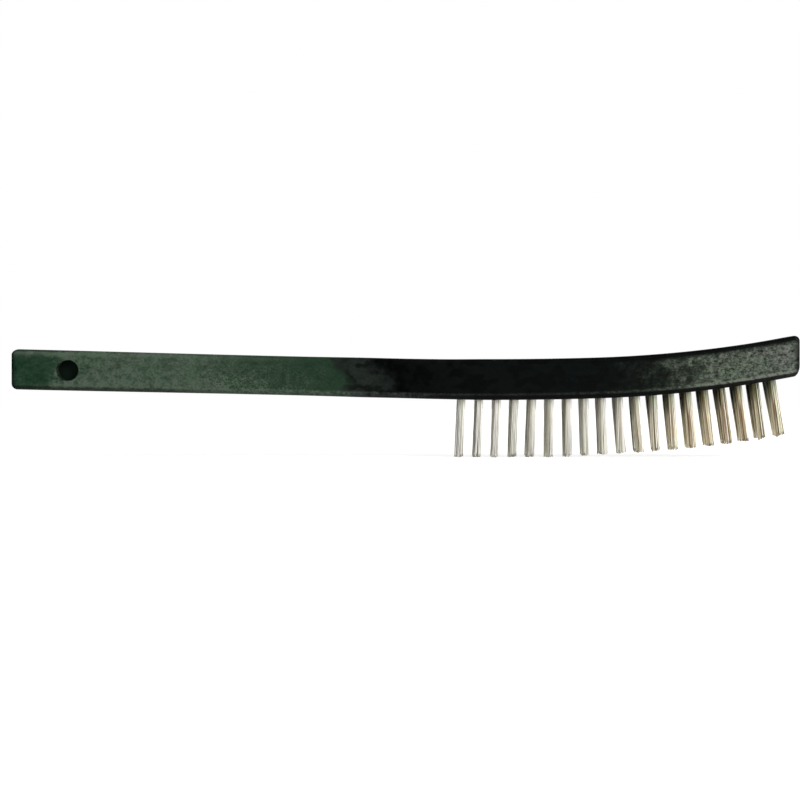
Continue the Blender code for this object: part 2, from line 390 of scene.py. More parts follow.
def handle_mesh():
    """The handle before it is drilled.

    Each vertex keeps its rim, from 0 on the flat sides to 1 past the rounded edges, and its drop,
    from 0 at the back to 1 at the face.
    """
    points = outline()
    normals = outward_normals(points)
    mesh = bmesh.new()
    rim = mesh.verts.layers.float.new("rim")
    drop = mesh.verts.layers.float.new("drop")
    drops = {}
    rings = []
    for inset, y, share in ring_places():
        if inset not in drops:
            drops[inset] = [
                drop_of(point - normal * inset) for point, normal in zip(points, normals)
            ]
        ring = []
        for point, normal, below in zip(points, normals, drops[inset]):
            vert = mesh.verts.new(point - normal * inset + Vector((0.0, y, 0.0)) + SEAT)
            vert[rim] = share
            vert[drop] = below
            ring.append(vert)
        rings.append(ring)
    count = len(points)
    for ring, following in zip(rings, rings[1:]):
        for number in range(count):
            after = (number + 1) % count
            mesh.faces.new((ring[number], ring[after], following[after], following[number]))
    fill_side(mesh, rings[0], rim, drop)
    fill_side(mesh, rings[-1], rim, drop)
    bmesh.ops.recalc_face_normals(mesh, faces=mesh.faces)
    return settled("handle_body", mesh)


def hang_hole_frame():
    """Z runs across the handle, through the middle of the hanging hole."""
    return spine_frame(HANG_HOLE_FROM_BUTT) @ Matrix.Rotation(math.pi / 2, 4, "X")


def hole_cutters():
    """The drilled holes as bodies, with the rim and drop that their walls keep."""
    mesh = bmesh.new()
    radius = TUFT_HOLE_DIAMETER / 2
    depth = TUFT_HOLE_DEPTH + HOLE_OVERRUN
    middle = Matrix.Translation((0.0, 0.0, depth / 2 - TUFT_HOLE_DEPTH))
    placed = Matrix.Translation(SEAT)
    for along in row_places():
        for across in (-1, 0, 1):
            bmesh.ops.create_cone(
                mesh, cap_ends=True, segments=TUFT_HOLE_SIDES, radius1=radius, radius2=radius,
                depth=depth, matrix=placed @ tuft_frame(along, across) @ middle,
            )
    hang = HANG_HOLE_DIAMETER / 2
    bmesh.ops.create_cone(
        mesh, cap_ends=True, segments=HANG_HOLE_SIDES, radius1=hang, radius2=hang,
        depth=HANDLE_WIDTH + 2 * HOLE_OVERRUN, matrix=placed @ hang_hole_frame(),
    )
    rim = mesh.verts.layers.float.new("rim")
    drop = mesh.verts.layers.float.new("drop")
    for vert in mesh.verts:
        vert[rim] = 1.0
        vert[drop] = 0.5
    return settled("drilled_holes", mesh)


def make_handle(material):
    handle = new_object("handle_body", handle_mesh(), material)
    holes = new_object("drilled_holes", hole_cutters())
    cut = handle.modifiers.new("holes", "BOOLEAN")
    cut.operation = "DIFFERENCE"
    cut.solver = "EXACT"
    cut.object = holes
    bpy.context.view_layer.update()
    graph = bpy.context.evaluated_depsgraph_get()
    drilled = bpy.data.meshes.new_from_object(handle.evaluated_get(graph))
    handle.modifiers.clear()
    handle.data = drilled
    bpy.data.objects.remove(holes)
    drilled.shade_smooth()
    drilled.set_sharp_from_angle(angle=math.radians(PLASTIC_SHARP_DEG))
    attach(handle, "root")
    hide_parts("handle")


def packed_feet():
    """Middles of the wires in a tuft: one in the middle and hexagonal rings round it."""
    feet = []
    for row in range(-WIRE_RINGS, WIRE_RINGS + 1):
        across = 2 * WIRE_RINGS + 1 - abs(row)
        for column in range(across):
            x = (column - (across - 1) / 2) * WIRE_PITCH
            feet.append(Vector((x, row * WIRE_PITCH * math.sqrt(3.0) / 2, 0.0)))
    return feet


def trim_of(row):
    """Length outside the face: the rows near the toe are trimmed a little shorter."""
    return TRIM_LENGTH - eased(
        HEEL_TRIMMED, TOE_TRIMMED, (row - TRIMMED_FROM_ROW) / TRIMMED_OVER_ROWS
    )


def wire_centres(foot, lean, draw, trim, parting, slant):
    """Middle line of one wire, from inside its hole to its cut tip."""
    turn = draw.uniform(0.0, math.tau)
    sway = Vector((math.cos(turn), math.sin(turn), 0.0)) * WAVER * draw.uniform(*WAVER_SHARES)
    bow = draw.uniform(*BOW_SHARES)
    stray = Vector((draw.gauss(0.0, 1.0), draw.gauss(0.0, 1.0), 0.0)) * TIP_STRAY
    if draw.random() < LOOSE_SHARE:
        stray *= LOOSE_FACTOR
    uneven = max(min(draw.gauss(0.0, TRIM_STRAY), TRIM_LONGEST), TRIM_SHORTEST)
    length = trim + slant * foot.x + uneven
    stations = [z for z in WIRE_STATIONS if z < length - LAST_STATION_GAP]
    stations += [length - TIP_CHAMFER, length]
    centres = []
    for z in stations:
        out = max(z, 0.0) / trim
        spread = out ** SPREAD_POWER
        aside = foot * (1.0 + TIP_SPREAD * spread) + stray * spread
        aside += sway * math.sin(math.pi * out * bow)
        if foot.dot(parting) > 0.0:
            aside += parting * out * (PARTING_PEAK - out)
        aside.x += math.tan(lean) * max(z, 0.0)
        centres.append(aside + Vector((0.0, 0.0, z)))
    return centres


def bundle_mesh(name, matrix, lean, draw, trim, depth):
    """All the wires of a tuft.

    Each vertex keeps its wire's tone, its reach from the face (0) to the trim (1), its tuft's depth
    from the camera's side (0) to the far side (1), and its wire's side of the tuft, from -1 towards
    the butt to 1 towards the toe.
    """
    places, faces, tones, reaches, sides = [], [], [], [], []
    turn = draw.uniform(0.0, math.tau)
    parting = Vector((math.cos(turn), math.sin(turn), 0.0)) * draw.uniform(*PARTING)
    slant = draw.uniform(-TRIM_SLANT, TRIM_SLANT / 2)
    for foot in packed_feet():
        jitter = Vector((draw.gauss(0.0, 1.0), draw.gauss(0.0, 1.0), 0.0)) * FOOT_JITTER
        centres = wire_centres(foot + jitter, lean, draw, trim, parting, slant)
        tone = draw.random()
        start_turn = draw.uniform(0.0, math.tau)
        first = len(places)
        for number, centre in enumerate(centres):
            at_tip = number == len(centres) - 1
            radius = WIRE_RADIUS * (TIP_RADIUS_SHARE if at_tip else 1.0)
            for side in range(WIRE_SIDES):
                turn = start_turn + math.tau * side / WIRE_SIDES
                spoke = Vector((radius * math.cos(turn), radius * math.sin(turn), 0.0))
                places.append(matrix @ (centre + spoke))
                tones.append(tone)
                sides.append(foot.x / (WIRE_RINGS * WIRE_PITCH))
                reaches.append(centre.z / trim)
        for number in range(len(centres) - 1):
            low = first + number * WIRE_SIDES
            high = low + WIRE_SIDES
            for side in range(WIRE_SIDES):
                after = (side + 1) % WIRE_SIDES
                faces.append((low + side, low + after, high + after, high + side))
        last = first + (len(centres) - 1) * WIRE_SIDES
        faces.append(tuple(range(last, last + WIRE_SIDES)))
        faces.append(tuple(range(first + WIRE_SIDES - 1, first - 1, -1)))
    # A tuft that would reach under the floor is drawn up from its tips until it stands on it.
    lowest = min(place.z for place in places)
    if lowest < 0.0:
        lift = Vector((0.0, 0.0, -lowest))
        places = [place + lift * max(reach, 0.0) for place, reach in zip(places, reaches)]
    data = bpy.data.meshes.new(name)
    data.from_pydata(places, [], faces)
    depths = [depth] * len(tones)
    for label, values in (("tone", tones), ("reach", reaches), ("depth", depths), ("side", sides)):
        data.attributes.new(label, "FLOAT", "POINT").data.foreach_set("value", values)
    return data


def make_bundles(material):
    draw = random.Random(DRAW_SEED)
    placed = Matrix.Translation(SEAT)
    for row, along in enumerate(row_places()):
        leans = (RIGHT_LEANS[row], (RIGHT_LEANS[row] + LEFT_LEANS[row]) / 2, LEFT_LEANS[row])
        for column, side in enumerate(ACROSS_NAMES):
            matrix = placed @ tuft_frame(along, column - 1)
            name = f"wires_{row + 1:02d}_{side}"
            lean = math.radians(leans[column])
            data = bundle_mesh(name, matrix, lean, draw, trim_of(row + 1), column / 2)
            bundle = new_object(name, data, material, WIRE_SHARP_DEG)
            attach(bundle, "root")
            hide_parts(f"tuft_{row + 1:02d}_{side}")


class Graph:
    """Short calls for the nodes of one material, or of the world."""

    def __init__(self, owner):
        owner.use_nodes = True
        self.owner = owner
        self.tree = owner.node_tree

    def feed(self, socket, value):
        if isinstance(value, bpy.types.NodeSocket):
            self.tree.links.new(value, socket)
        elif value is not None:
            socket.default_value = value

    def feed_node(self, name, inputs):
        for key, value in inputs.items():
            self.feed(self.tree.nodes[name].inputs[key], value)

    def node(self, kind, inputs=(), **settings):
        made = self.tree.nodes.new(kind)
        for name, value in settings.items():
            setattr(made, name, value)
        for key, value in dict(inputs).items():
            self.feed(made.inputs[key], value)
        return made

    def place(self):
        return self.node("ShaderNodeTexCoord").outputs["Object"]

    def along_x(self, vector):
        return self.node("ShaderNodeSeparateXYZ", {0: vector}).outputs[0]

    def length(self, vector):
        made = self.node("ShaderNodeVectorMath", {0: vector}, operation="LENGTH")
        return made.outputs["Value"]

    def stretched(self, vector, scale, shift=(0.0, 0.0, 0.0)):
        return self.node("ShaderNodeMapping", {
            "Vector": vector, "Location": shift, "Scale": scale,
        }).outputs[0]

    def attribute(self, name):
        return self.node("ShaderNodeAttribute", attribute_name=name).outputs["Fac"]

    def noise(self, vector, scale, detail=3.0, roughness=0.55):
        return self.node("ShaderNodeTexNoise", {
            "Vector": vector, "Scale": scale, "Detail": detail, "Roughness": roughness,
        }).outputs[0]

    def stretched_noise(self, vector, scale, *look):
        return self.noise(self.stretched(vector, scale), 1.0, *look)

    def math(self, operation, first, second=None):
        return self.node("ShaderNodeMath", {0: first, 1: second}, operation=operation).outputs[0]

    def plus(self, first, second):
        return self.math("ADD", first, second)

    def times(self, product, *factors):
        for factor in factors:
            product = self.math("MULTIPLY", product, factor)
        return product

    def span(self, value, low, high, to_low=0.0, to_high=1.0, smooth=True):
        """Runs from to_low where the value is low to to_high where it is high."""
        return self.node("ShaderNodeMapRange", {
            "Value": value, "From Min": low, "From Max": high,
            "To Min": to_low, "To Max": to_high,
        }, interpolation_type="SMOOTHSTEP" if smooth else "LINEAR", clamp=True).outputs[0]

    def between(self, share, first, second):
        return self.span(share, 0.0, 1.0, first, second, smooth=False)

    def mix(self, share, first, second, blend="MIX"):
        """Sockets 6, 7 and 2 of the node are its two colours and its result."""
        made = self.node("ShaderNodeMix", data_type="RGBA", blend_type=blend)
        for number, value in ((0, share), (6, first), (7, second)):
            self.feed(made.inputs[number], value)
        return made.outputs[2]

    def tinted(self, colour, tint):
        return self.mix(1.0, colour, tint, "MULTIPLY")

    def ramp(self, value, stops):
        made = self.node("ShaderNodeValToRGB", {0: value})
        elements = made.color_ramp.elements
        while len(elements) < len(stops):
            elements.new(1.0)
        for element, (position, colour) in zip(elements, stops):
            element.position = position
            element.color = (*colour, 1.0)
        return made.outputs[0]

    def shares(self, value, stops):
        return self.ramp(value, [(position, (share,) * 3) for position, share in stops])

    def bump(self, height, distance, strength):
        return self.node("ShaderNodeBump", {
            "Height": height, "Distance": distance, "Strength": strength,
        }).outputs[0]


WHITE = (1.0, 1.0, 1.0, 1.0)

# Colours of the plastic at shares of the length from butt to toe: the clean plastic, the painted
# sheen, a pale reflection painted on its flat sides, and how much of that sheen there is.
CLEAN_STOPS = (
    (0.000, (0.0062, 0.0290, 0.0135)),
    (0.200, (0.0140, 0.0340, 0.0170)),
    (0.300, (0.0140, 0.0340, 0.0170)),
    (0.418, (0.0120, 0.0320, 0.0160)),
    (0.432, (0.0105, 0.0145, 0.0115)),
    (0.468, (0.0070, 0.0095, 0.0080)),
    (0.488, (0.0012, 0.0018, 0.0018)),
    (0.570, (0.0022, 0.0029, 0.0029)),
    (0.720, (0.0006, 0.0017, 0.0015)),
    (1.000, (0.0006, 0.0013, 0.0009)),
)
SHEEN_STOPS = (
    (0.000, (0.0800, 0.1130, 0.0790)),
    (0.420, (0.0750, 0.1050, 0.0770)),
    (0.480, (0.0780, 0.0890, 0.0830)),
    (0.720, (0.0950, 0.1090, 0.0980)),
    (0.820, (0.1000, 0.1280, 0.0950)),
    (0.880, (0.1240, 0.1510, 0.1120)),
    (1.000, (0.1480, 0.1680, 0.1390)),
)
SHEEN_SHARES = (
    (0.000, 0.10), (0.035, 0.14), (0.060, 0.30), (0.078, 0.60), (0.110, 0.67), (0.210, 0.67),
    (0.245, 0.60), (0.290, 0.42), (0.345, 0.18), (0.400, 0.07), (0.450, 0.05), (0.490, 0.00),
    (0.770, 0.01), (0.800, 0.045), (0.830, 0.11), (0.868, 0.36), (0.900, 0.54), (1.000, 0.54),
)

# Painted highlight, a pale line along the lower edge of the sides, and how much of it and of the
# painted sheen runs on below it, as shares of TAIL_FACTOR. On the rounded rims that is less, by
# RIM_TAIL_FACTOR.
CREST_SHARES = (
    (0.000, 0.00), (0.200, 0.08), (0.250, 0.18), (0.340, 0.25), (0.410, 0.30), (0.440, 0.20),
    (0.500, 0.24), (0.550, 0.16), (0.620, 0.10), (0.740, 0.13), (0.790, 0.15), (0.830, 0.25),
    (0.890, 0.46), (1.000, 0.60),
)
TAIL_SHARES = (
    (0.000, 0.35), (0.200, 0.42), (0.260, 0.54), (0.340, 0.70), (0.380, 0.92), (0.420, 0.92),
    (0.445, 0.55), (0.500, 0.50), (0.560, 0.05), (0.900, 0.03), (1.000, 0.06),
)
TAIL_FACTOR = 2.0
RIM_TAIL_FACTOR = 0.6

# Painted highlight, a pale line along the upper edge, and how much of the colour is left below the
# lower edge and on the rounded rims, which is painted shade.
GLEAM_SHARES = (
    (0.000, 0.55), (0.060, 0.50), (0.110, 0.30), (0.260, 0.22), (0.360, 0.05), (0.420, 0.00),
    (1.000, 0.00),
)
SHADE_SHARES = (
    (0.000, 0.45), (0.200, 0.60), (0.280, 1.00), (0.560, 1.00), (0.640, 0.60), (0.800, 0.45),
    (1.000, 0.60),
)
RIM_SHARES = (
    (0.000, 0.35), (0.060, 0.50), (0.120, 0.80), (0.300, 1.00), (0.450, 0.90), (0.520, 0.60),
    (1.000, 0.40),
)

# Noises of the plastic: scale, along and across the handle or the same all round, then detail and
# roughness.
CLOUD = (300.0, 420.0, 420.0), 4.0, 0.65
TOE_CLOUD = (410.0, 540.0, 540.0), 4.0, 0.65
GRAIN = (1100.0, 1500.0, 1500.0), 3.0, 0.6
PITS = (1300.0, 1700.0, 1700.0), 1.0
BLOTS = (150.0, 210.0, 210.0), 1.5
DRIFT = 140.0, 2.0
TINT = 130.0, 2.0

# The spans below run from one place to another, and some then give the value at the first place or
# at both. First along the handle, in shares of its length from the butt.
SHEEN_BEGINS = (0.07, 0.12)
WAIST_BEGINS = (0.20, 0.28)
WAIST_ENDS = (0.38, 0.43, 1.0, 0.0)
GREEN_ENDS = (0.40, 0.44)
TOE_NEARS = (0.45, 0.80)
BLOTS_EASE = (0.415, 0.435, 1.0, 0.30)
CREST_CLIMBS = (0.40, 0.90, 0.830, 0.805)
BUTT_END = (0.0, 0.0008, 1.0, 0.0)
TOE_END = (0.9992, 1.0)
BUTT_SHADE = (0.001, 0.007, 0.45, 1.0)
TOE_SHADE = (0.9895, 0.9985, 1.0, 0.12)

# From the back (0) to the face (1).
SHEEN_SKEW = (0.0, 0.5, 0.018, 0.0)
PITS_DEEPEN = (0.10, 0.60, 0.35, 1.0)
LOWER_SIDE = (0.40, 0.85)
GLEAM_RISES = (0.03, 0.08)
GLEAM_FALLS = (0.09, 0.20, 1.0, 0.0)
CREST_WIDTH = 0.05
TAIL_BEGINS = (0.868, 0.915)
RIM_TAIL_BEGINS = (0.5, 0.9, 0.08)
BACK_FALLS = (0.0, 0.04, 1.0, 0.0)
SHADE_BEGINS = (0.880, 0.945, 1.0)

# Over the rounded rims, from the flat sides (0) to the back (1).
RIM_FADES = (0.55, 0.95, 1.0)
RIM_SHADES = (0.35, 0.85, 1.0)
RIM_ENDS = (0.97, 1.0)

# What the noises become.
RAGGED = (0.3, 0.7, -0.022, 0.022)
RAGGED_CLEAN = (0.3, 0.7, -0.010, 0.010)
MOTTLED = (0.30, 0.70)
MOTTLED_LOW = (0.0, 0.36)
MOTTLED_HIGH = (2.00, 1.64)
MOTTLED_AT_TOE = (0.08, 2.02)
SPECKLED = (0.32, 0.68)
SPECKLED_LOW = (0.50, 0.30)
SPECKLED_HIGH = 1.6
PIT_SPECKS = (0.60, 0.68, 0.0, 0.22)
PIT_SPAN = (0.38, 0.47)
PIT_DARK = 0.15
BLOT_SPAN = (0.42, 0.54)
BLOT_HIGH = 1.05
CREST_CLOUDY = (0.35, 0.65, 0.45, 1.55)
CREST_GRAINY = (0.35, 0.65, 0.6, 1.4)
TINT_STOPS = ((0.36, (1.05, 0.99, 1.03)), (0.64, (0.95, 1.01, 0.96)))
EDGE_TINT = -0.15

# Factors of the painted sheen: in the lower half of the sides, at the grip and at the waist, and in
# the upper half, before and after the green ends.
LOWER_SHEEN = (1.25, 1.60)
UPPER_SHEEN = (0.94, 1.0)

# How far below the back the painted sheen begins and is full, each away from the toe and near it,
# and how much of it lies on the back and on the ends.
TOP_FROM = (-0.02, 0.085)
TOP_TO = (0.00, 0.215)
BACK_SHEEN = 0.45

# How much of the colour is left on the plumb ends, whatever the other shades say.
END_SHADE = 0.8

# Shade round the hanging hole, a little squashed and moved towards the butt.
HOLE_SHADE = (0.0044, 0.0050, 0.25, 1.0)
HOLE_SHADE_SHIFT = 0.0003
HOLE_SHADE_SQUASH = 0.94

# The surface: roughness by the painted sheen's noise, and the heights of both noises in the bump.
PLASTIC_ROUGHNESS = (0.3, 0.7, 0.30, 0.42)
PLASTIC_SPECULAR = 0.04
CLOUD_HEIGHT = 0.6
GRAIN_HEIGHT = 0.4
BUMP_DISTANCE = 0.00012
BUMP_STRENGTH = 0.5


def plastic():
    """Moulded plastic, green at the grip, black in the head, with a painted sheen on its sides."""
    g = Graph(bpy.data.materials.new("handle_plastic_moulded"))
    place = g.place()
    along = g.span(g.along_x(place), -OVERALL_LENGTH / 2, OVERALL_LENGTH / 2, smooth=False)
    drop, rim = g.attribute("drop"), g.attribute("rim")

    # The painted sheen's ends run further towards the toe at the top of the sides, and are ragged.
    drift = g.noise(place, *DRIFT)
    ahead = g.plus(along, g.span(drop, *SHEEN_SKEW))
    shifted = g.plus(ahead, g.span(drift, *RAGGED))
    turned = g.plus(ahead, g.span(drift, *RAGGED_CLEAN))
    at_toe = g.span(along, *TOE_NEARS)

    # Mottled painted sheen, finer and stronger at the toe, with small dark pits at the waist.
    cloud, toe_cloud = g.stretched_noise(place, *CLOUD), g.stretched_noise(place, *TOE_CLOUD)
    cloud = g.between(at_toe, cloud, toe_cloud)
    grain = g.stretched_noise(place, *GRAIN)
    low = g.between(at_toe, g.span(along, *SHEEN_BEGINS, *MOTTLED_LOW), MOTTLED_AT_TOE[0])
    high = g.between(at_toe, g.span(along, *SHEEN_BEGINS, *MOTTLED_HIGH), MOTTLED_AT_TOE[1])
    mottled = g.span(cloud, *MOTTLED, low, high, smooth=False)
    speckled = g.between(at_toe, *SPECKLED_LOW)
    speckled = g.span(grain, *SPECKLED, speckled, SPECKLED_HIGH, smooth=False)
    pits = g.stretched_noise(place, *PITS)
    pitted = g.times(g.span(along, *WAIST_BEGINS), g.span(along, *WAIST_ENDS))
    pitted = g.times(pitted, g.span(drop, *PITS_DEEPEN))
    specks = g.times(g.span(pits, *PIT_SPECKS), pitted)
    pits = g.span(pits, *PIT_SPAN, g.between(pitted, 1.0, PIT_DARK), 1.0)
    lower = g.span(along, *GREEN_ENDS, g.span(along, *WAIST_BEGINS, *LOWER_SHEEN), 1.0)
    lower = g.span(drop, *LOWER_SIDE, g.span(along, *GREEN_ENDS, *UPPER_SHEEN), lower)
    top_from = g.span(along, *TOE_NEARS, *TOP_FROM)
    top = g.span(drop, top_from, g.span(along, *TOE_NEARS, *TOP_TO))
    mottled_sheen = g.times(mottled, speckled, g.shares(shifted, SHEEN_SHARES))
    amount = g.plus(g.times(pits, lower, mottled_sheen, top), specks)

    # Painted highlights: pale lines along the upper and lower edges.
    gleam = g.times(g.span(drop, *GLEAM_RISES), g.span(drop, *GLEAM_FALLS))
    gleam = g.times(gleam, g.shares(along, GLEAM_SHARES))
    starts = g.span(along, *CREST_CLIMBS)
    edge = g.span(drop, starts, g.plus(starts, CREST_WIDTH))
    crest = g.times(edge, g.shares(along, CREST_SHARES))
    crest = g.times(crest, g.span(cloud, *CREST_CLOUDY), g.span(grain, *CREST_GRAINY))
    amount = g.plus(amount, g.plus(gleam, crest))
    tail = g.times(g.shares(along, TAIL_SHARES), TAIL_FACTOR)
    amount = g.times(amount, g.span(drop, *TAIL_BEGINS, 1.0, tail))
    rim_tail = g.span(drop, *RIM_TAIL_BEGINS, g.times(tail, RIM_TAIL_FACTOR))
    amount = g.times(amount, g.span(rim, *RIM_FADES, rim_tail))
    # Part of the painted sheen also lies on the back and on the plumb ends.
    ends = g.math("MAXIMUM", g.span(along, *BUTT_END), g.span(along, *TOE_END))
    ends = g.times(ends, g.span(rim, *RIM_ENDS))
    back = g.times(g.span(rim, *RIM_ENDS), g.span(drop, *BACK_FALLS))
    amount = g.plus(amount, g.times(g.math("MAXIMUM", back, ends), BACK_SHEEN, mottled_sheen))

    # Grey and green tints in the painted sheen, grey along the lower edge, and black blotches where
    # the green ends.
    tint = g.plus(g.noise(place, *TINT), g.times(edge, EDGE_TINT))
    sheen = g.tinted(g.ramp(shifted, SHEEN_STOPS), g.ramp(tint, TINT_STOPS))
    blots = g.stretched_noise(place, *BLOTS)
    blots = g.span(blots, *BLOT_SPAN, g.span(along, *BLOTS_EASE), BLOT_HIGH)
    colour = g.mix(amount, g.tinted(g.ramp(turned, CLEAN_STOPS), blots), sheen)

    # Shade on the rounded edges, at both ends and round the hanging hole.
    shade = g.span(drop, *SHADE_BEGINS, g.shares(along, SHADE_SHARES))
    shade = g.times(shade, g.span(rim, *RIM_SHADES, g.shares(along, RIM_SHARES)))
    shade = g.times(shade, g.span(along, *BUTT_SHADE), g.span(along, *TOE_SHADE))
    hole = SEAT + spine_point(HANG_HOLE_FROM_BUTT) - Vector((HOLE_SHADE_SHIFT, 0.0, 0.0))
    from_hole = g.length(g.stretched(
        place, (HOLE_SHADE_SQUASH, 0.0, 1.0), (-hole.x * HOLE_SHADE_SQUASH, 0.0, -hole.z)
    ))
    shade = g.times(shade, g.span(from_hole, *HOLE_SHADE))
    shade = g.math("MAXIMUM", shade, g.times(ends, END_SHADE))
    height = g.plus(g.times(cloud, CLOUD_HEIGHT), g.times(grain, GRAIN_HEIGHT))
    g.feed_node("Principled BSDF", {
        "Base Color": g.tinted(colour, shade),
        "Roughness": g.span(cloud, *PLASTIC_ROUGHNESS),
        "Specular IOR Level": PLASTIC_SPECULAR,
        "Normal": g.bump(height, BUMP_DISTANCE, BUMP_STRENGTH),
    })
    return g.owner


# Colours of the wires by their tone, from bright to dull, away from the toe and near it.
SILVER_STOPS = (
    (0.00, (0.97, 0.97, 0.95)), (0.55, (0.95, 0.94, 0.90)), (0.82, (0.76, 0.75, 0.68)),
    (1.00, (0.45, 0.44, 0.37)),
)
WARM_STOPS = (
    (0.00, (0.97, 0.96, 0.90)), (0.30, (0.93, 0.90, 0.78)), (0.45, (0.52, 0.38, 0.23)),
    (0.60, (0.90, 0.88, 0.72)), (0.78, (0.58, 0.55, 0.38)), (0.90, (0.20, 0.15, 0.09)),
    (1.00, (0.10, 0.08, 0.05)),
)
TAN = (0.93, 0.87, 0.68, 1.0)
BROWN = (0.26, 0.16, 0.085, 1.0)
# Painted light for the side of a tuft towards the toe.
LIT_SIDE_TINT = (1.0, 0.98, 0.93, 1.0)
OLIVE = (0.90, 1.0, 0.92, 1.0)
# Grey and brown of the painted shade on the side of a tuft towards the butt.
SIDE_SHADE_GREY = (0.76, 0.74, 0.69, 1.0)
SIDE_SHADE_BROWN = (0.64, 0.54, 0.36, 1.0)

# Noises of the wires: scale across and along them and detail, and the tints that they give.
STREAK = (2600.0, 2600.0, 90.0), 2.0
CAST = (230.0, 230.0, 40.0), 1.0
STREAK_STOPS = ((0.30, (0.72, 0.70, 0.66)), (0.6, (1.0, 1.0, 1.0)))
CAST_STOPS = ((0.40, (0.98, 1.00, 0.95)), (0.60, (1.00, 0.98, 0.97)))

# Spans along the brush, in metres from its middle.
SIDE_SHADE_ROWS = (0.035, 0.060)
ROOT_SHADE_ROWS = (0.05, 0.13)
LIT_SIDE_ROWS = (0.060, 0.075)
WARM_ROWS = (0.07, 0.13)
SIDE_SHADE_ROOT_ROWS = (0.075, 0.100, 1.0, 0.20)
OLIVE_ROWS = (0.090, 0.115)
TAN_ROWS = (0.095, 0.120)
FRONT_ROOT_ROWS = (0.095, 0.130)
LIT_SIDE_ROWS_END = (0.105, 0.120, 1.0, 0.0)
SIDE_SHADE_BROWN_ROWS = (0.105, 0.130)
LAST_ROWS = (0.135, 0.155, 0.78, 0.40)

# Spans from the face (0) to the trim (1).
TAN_REACH = (0.20, 0.45)
BROWN_REACH = (0.55, 0.85, 1.0, 0.70)
OLIVE_REACH = (0.08, 0.30, 1.0, 0.0)
SIDE_SHADE_REACH = (0.10, 0.50, 1.0)
TIP_DARKENING_REACH = (0.1, 1.0, 1.0, 0.80)
CUT_FROM = (0.925, 0.975)
CUT_WIDTH = 0.03

# Spans across a tuft, from its side towards the butt (-1) to its side towards the toe (1).
TAN_SIDE = (-0.85, -0.30, 0.65, 0.0)
BROWN_SIDE = (-0.90, -0.65)
BROWN_SIDE_END = (-0.20, 0.20, 1.0, 0.0)
LIT_SIDE_ACROSS = (0.0, 0.3, 0.0, 0.6)
SIDE_SHADE_ACROSS = (-0.80, -0.10, 1.0, 0.0)
ROOT_SIDE = (-0.75, -0.35)
ROOT_SIDE_NEAR = (0.40, 0.75)
ROOT_SIDE_TOE = 0.22
TOE_ROOT_SIDE = (0.2, 0.8, 0.46)

# Spans from the row nearest the camera (0) to the furthest (1): how strong the painted shade on its
# side towards the butt is, and how bright its roots stay under painted shade. The painted shade at
# the roots begins at the next to last value below, times that depth, and ends at the last pair,
# both as shares of the reach.
SIDE_SHADE_DEPTH = (0.0, 0.5, 1.0, 0.10)
ROOT_DEPTH = (0.0, 0.5)
ROOT_BEHIND = 0.10
ROOT_SHADE_FROM = 0.10
ROOT_SHADE_TO = (0.40, 0.62)

# A wire's tone times a factor, without its whole part, gives the wire a second tone: one for the
# brown wires and one for how dark its cut end is.
BROWN_SPREAD = 13.0
BROWN_TONES = (0.42, 0.58, 0.90, 0.0)
CUT_DARK_SPREAD = 7.0
CUT_DARK_TONES = (0.2, 0.8, 0.35, 0.95)

STEEL_ROUGHNESS = (0.3, 0.7, 0.44, 0.60)


